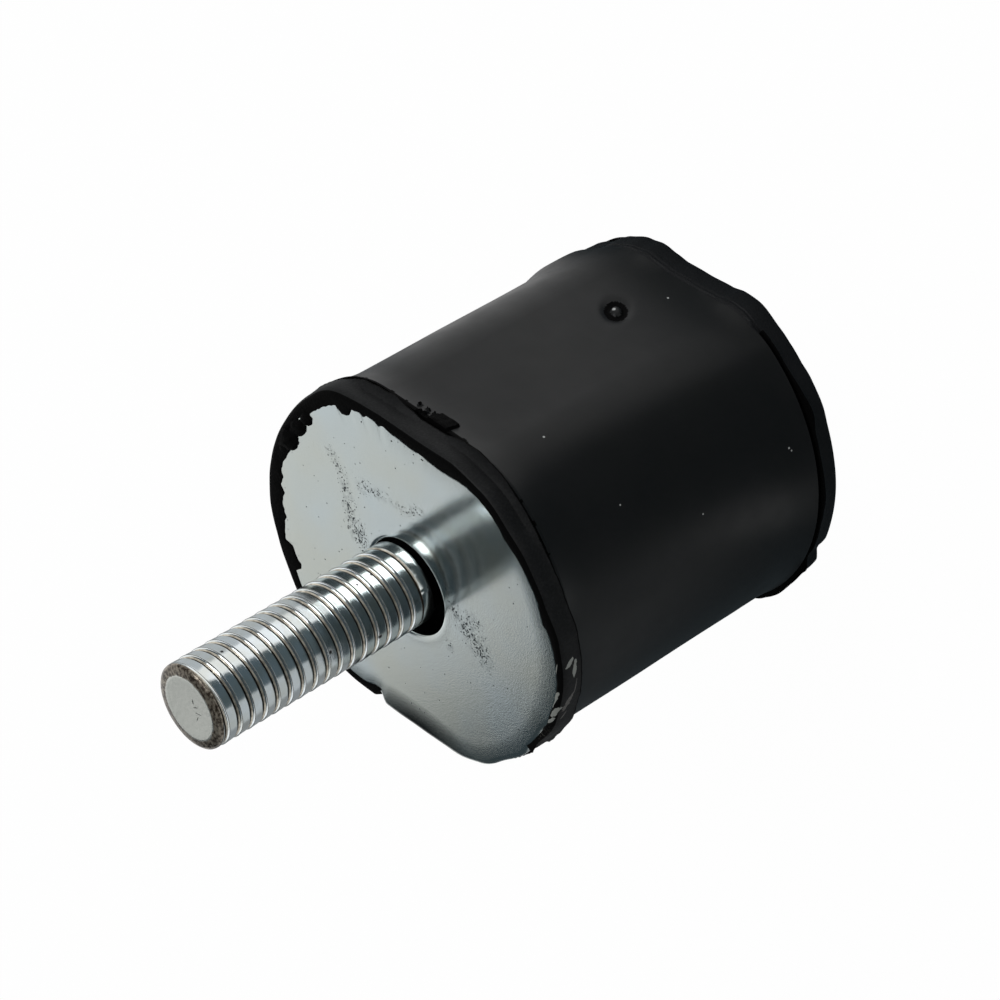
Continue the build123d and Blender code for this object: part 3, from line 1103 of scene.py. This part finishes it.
class BUFFER_OT_stud_plate(bpy.types.Operator):
    """Make the plated end plate at the stud's end, with the burr round its hole"""

    bl_idname = "buffer.stud_plate"
    bl_label = "Stud Plate"

    def execute(self, context):
        steel = context.scene.buffer_steel
        hole = flatted(HOLE_RADIUS, shift=HOLE_SHIFT)
        rim = flatted(mm(steel.plate_radius), PLATE_FLAT, PLATE_CORNER, NEAR_PLATE_SHIFT)
        rubber = flatted(mm(context.scene.buffer_rubber.near_rim_radius), NEAR_RIM_FLAT, RUBBER_CORNER)
        shift_x = NEAR_RIM_SHIFT[0] - NEAR_PLATE_SHIFT[0]
        shift_y = NEAR_RIM_SHIFT[1] - NEAR_PLATE_SHIFT[1]

        def bare_edge(angle):
            # A ray from the plate's centre is followed until it meets the rubber's outline
            far = rim[2]
            for _ in range(4):
                x, y = far * math.cos(angle) - shift_x, far * math.sin(angle) - shift_y
                spot = math.atan2(y, x)
                far += reach(rubber, spot) + near_side(spot) - math.hypot(x, y)
            return far - reach(rim, angle)

        def edge(inset):
            # Where the lip is narrow, the plate grows under it, so that its rounded edge stays covered
            def offset(angle):
                bare = bared(angle)
                swell = max(follow(angle, LIP_EDGE) + 0.28, 0.0) * plateau(angle, -106.0, 190.0, 8.0)
                return swell * (1 - bare) + bare_edge(angle) * bare - inset

            return offset

        stations = [
            (hole, 0.0, NEAR_PARTING, 0),
            (rim, edge(0.0), NEAR_PARTING, 0),
            (rim, edge(0.0), 25.6, 0),
            (rim, edge(0.0), 25.72, 0),
            (rim, edge(0.04), 25.83, 0),
            (rim, edge(0.15), 25.885, 0),
            (rim, edge(0.4), HEIGHT, 0),
            (rim, -1.5, HEIGHT, 0),
            (hole, 0.9, HEIGHT, 0),
            (hole, 0.5, 25.902, 0),
            (hole, 0.3, 25.906, 0),
            (hole, 0.16, 25.9, 0),
            (hole, 0.08, 25.88, 0),
            (hole, 0.03, 25.84, 0),
            (hole, 0.0, 25.76, 0),
            (hole, 0.0, NEAR_PARTING + 0.01, 0),
        ]
        bm = grow(stations)
        open_ring(bm)
        finish_piece(bm, "zinc_stud_plate", [zinc_plate(steel)], "stud_plate")
        return {"FINISHED"}


class BUFFER_OT_threaded_stud(bpy.types.Operator):
    """Make the stud with its rolled thread, neck, chamfered tip and hidden head"""

    bl_idname = "buffer.threaded_stud"
    bl_label = "Threaded Stud"

    def execute(self, context):
        steel = context.scene.buffer_steel
        crest = mm(steel.stud_radius)
        root = crest - mm(steel.thread_depth)
        step = crest - 0.055
        pitch = mm(steel.pitch)
        top = HEIGHT + mm(steel.stud_length)
        low, high = HEIGHT + 0.95, top - 0.3
        zinc, end, film, grime_and_shade, edge = 0, 1, 2, 3, 4

        def neck(above):
            # The rubber film round the neck reaches highest on one side
            return lambda angle: FILM_TOP + 0.1 * math.cos(angle - math.radians(15)) + above

        profile = [
            (step, 0.0), (step + 0.012, 0.025), (step + 0.02, 0.08), (crest - 0.015, 0.48),
            (crest - 0.005, 0.57), (crest, 0.6), (crest - 0.004, 0.615), (crest - 0.025, 0.64),
            (crest - 0.03, 0.655), (crest - 0.07, 0.725), (crest - 0.085, 0.74), (crest - 0.09, 0.755),
            (crest - 0.13, 0.815), (crest - 0.14, 0.84), (crest - 0.17, 0.865),
            (root + 0.01, 0.89), (root, 0.9), (root, 0.94), (root + 0.02, 0.955), (step - 0.02, 0.99),
            (step, 1.0),
        ]
        bm = wind(profile, pitch, THREAD_START, low, high)
        for vert in bm.verts:
            radius = math.hypot(vert.co.x, vert.co.y)
            fade = min((vert.co.z - low) / 0.5, (high - vert.co.z) / 0.45, 1.0)
            wanted = NECK_RADIUS + (radius - NECK_RADIUS) * max(fade, 0.0) ** 0.6
            vert.co.xy *= wanted / radius
        for face in bm.faces:
            middle = face.calc_center_median()
            turns = (middle.z - THREAD_START) / pitch - math.atan2(middle.y, middle.x) / math.tau
            share = turns % 1.0
            # Painted shade, with brown dirt: the groove and the thin line in the crease after the crest
            if share > GROOVE_START or SHADE_LINE_START < share < SHADE_LINE_END:
                face.material_index = grime_and_shade
            # Painted highlight along the edge of each turn
            elif share > HIGHLIGHT_START:
                face.material_index = edge
        lathe_on(bm, high, [
            (2.84, top - 0.2, end), (2.74, top - 0.1, end), (2.6, top - 0.045, end),
            (TIP_RADIUS + 0.1, top - 0.02, end), (TIP_RADIUS, top, end), (TIP_RADIUS - 0.1, top, end),
            (1.8, top - 0.005, end), (1.2, top - 0.015, end), (0.5, top - 0.02, end),
        ])
        # Down in the plate's hole the black film is painted shade: over the crept rubber on the neck, and on
        # the head's face
        lathe_on(bm, low, [
            (NECK_RADIUS, neck(0.1), zinc), (NECK_RADIUS - 0.02, neck(0.03), zinc),
            (NECK_RADIUS - 0.08, neck(0.0), film), (2.55, neck(-0.02), film), (2.5, 25.7, film),
            (2.5, NEAR_PARTING, film), (HEAD_RADIUS - 0.1, NEAR_PARTING, film),
            (HEAD_RADIUS, NEAR_PARTING - 0.1, zinc), (HEAD_RADIUS, HEAD_BOTTOM + 0.1, zinc),
            (HEAD_RADIUS - 0.1, HEAD_BOTTOM, zinc),
        ])
        finish_piece(
            bm,
            "zinc_stud",
            [zinc_thread(steel), sheared_end(top), black_film_and_gap_shade(), thread_grime_and_shade(steel), thread_edge_highlight()],
            "threaded_stud",
        )
        return {"FINISHED"}


class BUFFER_OT_tapped_end(bpy.types.Operator):
    """Make the hidden end's plate and the tapped bush that is set in it"""

    bl_idname = "buffer.tapped_end"
    bl_label = "Tapped End"

    def execute(self, context):
        steel = context.scene.buffer_steel
        pilot = flatted(PILOT_RADIUS)
        rim = flatted(mm(steel.plate_radius), PLATE_FLAT, PLATE_CORNER)
        bm = grow([
            (pilot, 0.0, PLATE, 0),
            (rim, 0.0, PLATE, 0),
            (rim, 0.0, 0.18, 0),
            (rim, -0.04, 0.07, 0),
            (rim, -0.15, 0.015, 0),
            (rim, -0.4, 0.0, 0),
            (rim, -1.5, 0.0, 0),
            (pilot, 0.4, 0.0, 0),
            (pilot, 0.1, 0.0, 0),
            (pilot, 0.02, 0.05, 0),
            (pilot, 0.0, 0.15, 0),
            (pilot, 0.0, PLATE - 0.01, 0),
        ])
        open_ring(bm)
        finish_piece(bm, "zinc_tapped_plate", [zinc_plate(steel)], "tapped_plate")

        minor, major = TAP_MINOR, TAP_MAJOR
        low, high = 0.1, TAP_DEPTH
        profile = [
            (minor, 0.0), (minor, 0.11), (minor + 0.03, 0.14), (major - 0.04, 0.44),
            (major, 0.48), (major, 0.54), (major - 0.04, 0.58), (minor + 0.03, 0.88),
            (minor, 0.91), (minor, 1.0),
        ]
        bm = wind(profile, mm(steel.pitch), low - 1.0, low, high)
        for vert in bm.verts:
            radius = math.hypot(vert.co.x, vert.co.y)
            mouth = major + 0.1 - (vert.co.z - low)
            fade = min(max((high - vert.co.z) / 0.9, 0.0), 1.0)
            wanted = max(minor + (radius - minor) * fade, mouth)
            vert.co.xy *= wanted / radius
        lathe_on(bm, low, [
            (3.2, 0.02, 0), (3.3, 0.0, 0), (PILOT_RADIUS - 0.15, 0.0, 0), (PILOT_RADIUS - 0.05, 0.03, 0),
            (PILOT_RADIUS - 0.01, 0.1, 0), (PILOT_RADIUS - 0.01, PLATE, 0), (BUSH_RADIUS, PLATE, 0),
            (BUSH_RADIUS, BUSH_TOP - 0.5, 0), (BUSH_RADIUS - 0.5, BUSH_TOP, 0),
        ])
        lathe_on(bm, high, [(minor, high + 0.02, 0), (0.08, DRILL_TIP, 0)])
        finish_piece(
            bm,
            "zinc_threaded_insert",
            [zinc_thread(steel)],
            "threaded_insert",
        )
        return {"FINISHED"}


def direction(azimuth, elevation):
    """Unit vector that points out at an azimuth and an elevation."""
    flat = math.cos(elevation)
    return Vector((flat * math.cos(azimuth), flat * math.sin(azimuth), math.sin(elevation)))


def facing(out, roll):
    """Turn that points a lamp or a camera in along a direction, rolled about it."""
    return out.to_track_quat("Z", "Y") @ Quaternion((0.0, 0.0, 1.0), roll)


class BUFFER_OT_stage(bpy.types.Operator):
    """Make the floor, the flags, the sky, the lamps and the camera"""

    bl_idname = "buffer.stage"
    bl_label = "Stage"

    def lay(self, scene, name, bm, level):
        """Lay a flat mesh in metres at a level in mm, and return it with its material's empty tree."""
        bmesh.ops.translate(bm, vec=(0.0, 0.0, level / 1000), verts=bm.verts)
        mesh = bpy.data.meshes.new(name)
        bm.to_mesh(mesh)
        bm.free()
        sheet = bpy.data.objects.new(name, mesh)
        scene.collection.objects.link(sheet)
        material = bpy.data.materials.new(name)
        material.use_nodes = True
        tree = material.node_tree
        tree.nodes.remove(tree.nodes["Principled BSDF"])
        mesh.materials.append(material)
        return sheet, tree

    def flag(self, scene, name, x, y, width, depth, level, tint, radiance):
        """Lay a dim flag just above the floor, which only reflections show."""
        bm = bmesh.new()
        if depth:
            bmesh.ops.create_grid(bm, x_segments=1, y_segments=1, size=0.5)
            bmesh.ops.scale(bm, vec=(width / 1000, depth / 1000, 1.0), verts=bm.verts)
        else:
            bmesh.ops.create_circle(bm, cap_ends=True, segments=64, radius=width / 1000)
        bmesh.ops.translate(bm, vec=(x / 1000, y / 1000, 0.0), verts=bm.verts)
        sheet, tree = self.lay(scene, name, bm, level)
        sheet.visible_camera = False
        sheet.visible_diffuse = False
        sheet.visible_shadow = False
        dim = add_node(tree, "Emission", (tint, radiance))
        plug(tree, tree.nodes["Material Output"], {"Surface": dim})

    def floor(self, scene, colour):
        """Lay the floor: matt under the light, and white to the camera and in reflections."""
        bm = bmesh.new()
        bmesh.ops.create_grid(bm, x_segments=1, y_segments=1, size=FLOOR_HALF)
        _, tree = self.lay(scene, "floor", bm, FLOOR_LEVEL)
        rays = add_node(tree, "LightPath").node.outputs
        seen = add_node(tree, "Math", (rays["Is Camera Ray"], rays["Is Glossy Ray"]), operation="ADD")
        seen = add_node(
            tree, "Math", (seen, rays["Is Transmission Ray"]), operation="ADD", use_clamp=True
        )
        share = add_node(tree, "Math", (seen, FLOOR_WHITE), operation="MULTIPLY")
        matt = add_node(tree, "BsdfDiffuse", (colour,))
        white = add_node(tree, "Emission", ((1.0, 1.0, 1.0), 1.0))
        both = add_node(tree, "MixShader", (share, matt, white))
        plug(tree, tree.nodes["Material Output"], {"Surface": both})

    def sky(self, scene):
        """Make the world white up to 7 degrees above the floor, and dim and bluish from 14 degrees up."""
        world = bpy.data.worlds.new("studio")
        scene.world = world
        world.use_nodes = True
        tree = world.node_tree
        place = add_node(tree, "TexCoord", output="Generated")
        height = add_node(tree, "SeparateXYZ", (place,), "Z")
        light = add_node(
            tree, "MapRange", (height, 0.13, 0.25, 1.0, 0.06), interpolation_type="SMOOTHSTEP"
        )
        share = add_node(tree, "MapRange", (light, 0.06, 0.5))
        tint = add_node(tree, "Mix", (share, BLUE, (1.0, 1.0, 1.0)), data_type="RGBA")
        plug(tree, tree.nodes["Background"], {"Color": tint, "Strength": light})

    def lamp(self, scene, name, azimuth, elevation, distance, wide, tall, roll, radiance):
        """Hang a rectangular softbox that faces a point just above the floor."""
        lamp = bpy.data.lights.new(name, "AREA")
        lamp.shape = "RECTANGLE"
        lamp.size = wide
        lamp.size_y = tall
        lamp.energy = math.pi * wide * tall * radiance
        holder = bpy.data.objects.new(name, lamp)
        scene.collection.objects.link(holder)
        out = direction(math.radians(azimuth), math.radians(elevation))
        holder.location = out * distance + Vector(LAMP_AIM)
        holder.rotation_euler = facing(out, math.radians(roll)).to_euler()

    def camera(self, scene, stage):
        """Stand the camera where the photograph's camera stood."""
        data = bpy.data.cameras.new("camera")
        data.lens = stage.lens
        data.sensor_width = 36.0
        data.clip_start = 0.01
        camera = bpy.data.objects.new("camera", data)
        scene.collection.objects.link(camera)
        out = direction(stage.azimuth, stage.elevation)
        stand = Matrix.Translation(Vector(stage.aim) + out * stage.distance)
        camera.matrix_world = stand @ facing(out, stage.roll).to_matrix().to_4x4()
        scene.camera = camera

    def execute(self, context):
        scene = context.scene
        scene.view_settings.view_transform = "Standard"
        self.floor(scene, scene.buffer_stage.floor_colour)
        for row in FLAGS:
            self.flag(scene, *row)
        self.sky(scene)
        for row in LAMPS:
            self.lamp(scene, *row)
        self.camera(scene, scene.buffer_stage)
        return {"FINISHED"}


class BUFFER_PT_pieces(bpy.types.Panel):
    """List the buffer's pieces in the 3D view's sidebar."""

    bl_label = "Rubber Buffer"
    bl_idname = "BUFFER_PT_pieces"
    bl_space_type = "VIEW_3D"
    bl_region_type = "UI"
    bl_category = "Rubber Buffer"

    def draw(self, context):
        for maker in MAKERS:
            self.layout.operator(maker.bl_idname)


GROUPS = (RubberSettings, SteelSettings, StageSettings)
MAKERS = (
    BUFFER_OT_rubber_body,
    BUFFER_OT_stud_plate,
    BUFFER_OT_threaded_stud,
    BUFFER_OT_tapped_end,
    BUFFER_OT_stage,
)


def register():
    """Register the classes and hang the settings on the scene."""
    for part in (*GROUPS, *MAKERS, BUFFER_PT_pieces):
        bpy.utils.register_class(part)
    bpy.types.Scene.buffer_rubber = bpy.props.PointerProperty(type=RubberSettings)
    bpy.types.Scene.buffer_steel = bpy.props.PointerProperty(type=SteelSettings)
    bpy.types.Scene.buffer_stage = bpy.props.PointerProperty(type=StageSettings)


def unregister():
    """Take the settings and the classes away again."""
    del bpy.types.Scene.buffer_rubber
    del bpy.types.Scene.buffer_steel
    del bpy.types.Scene.buffer_stage
    for part in (BUFFER_PT_pieces, *reversed(MAKERS), *reversed(GROUPS)):
        bpy.utils.unregister_class(part)


def main():
    """Make every piece in order."""
    register()
    bpy.ops.buffer.rubber_body()
    bpy.ops.buffer.stud_plate()
    bpy.ops.buffer.threaded_stud()
    bpy.ops.buffer.tapped_end()
    bpy.ops.buffer.stage()


if __name__ == "__main__":
    main()
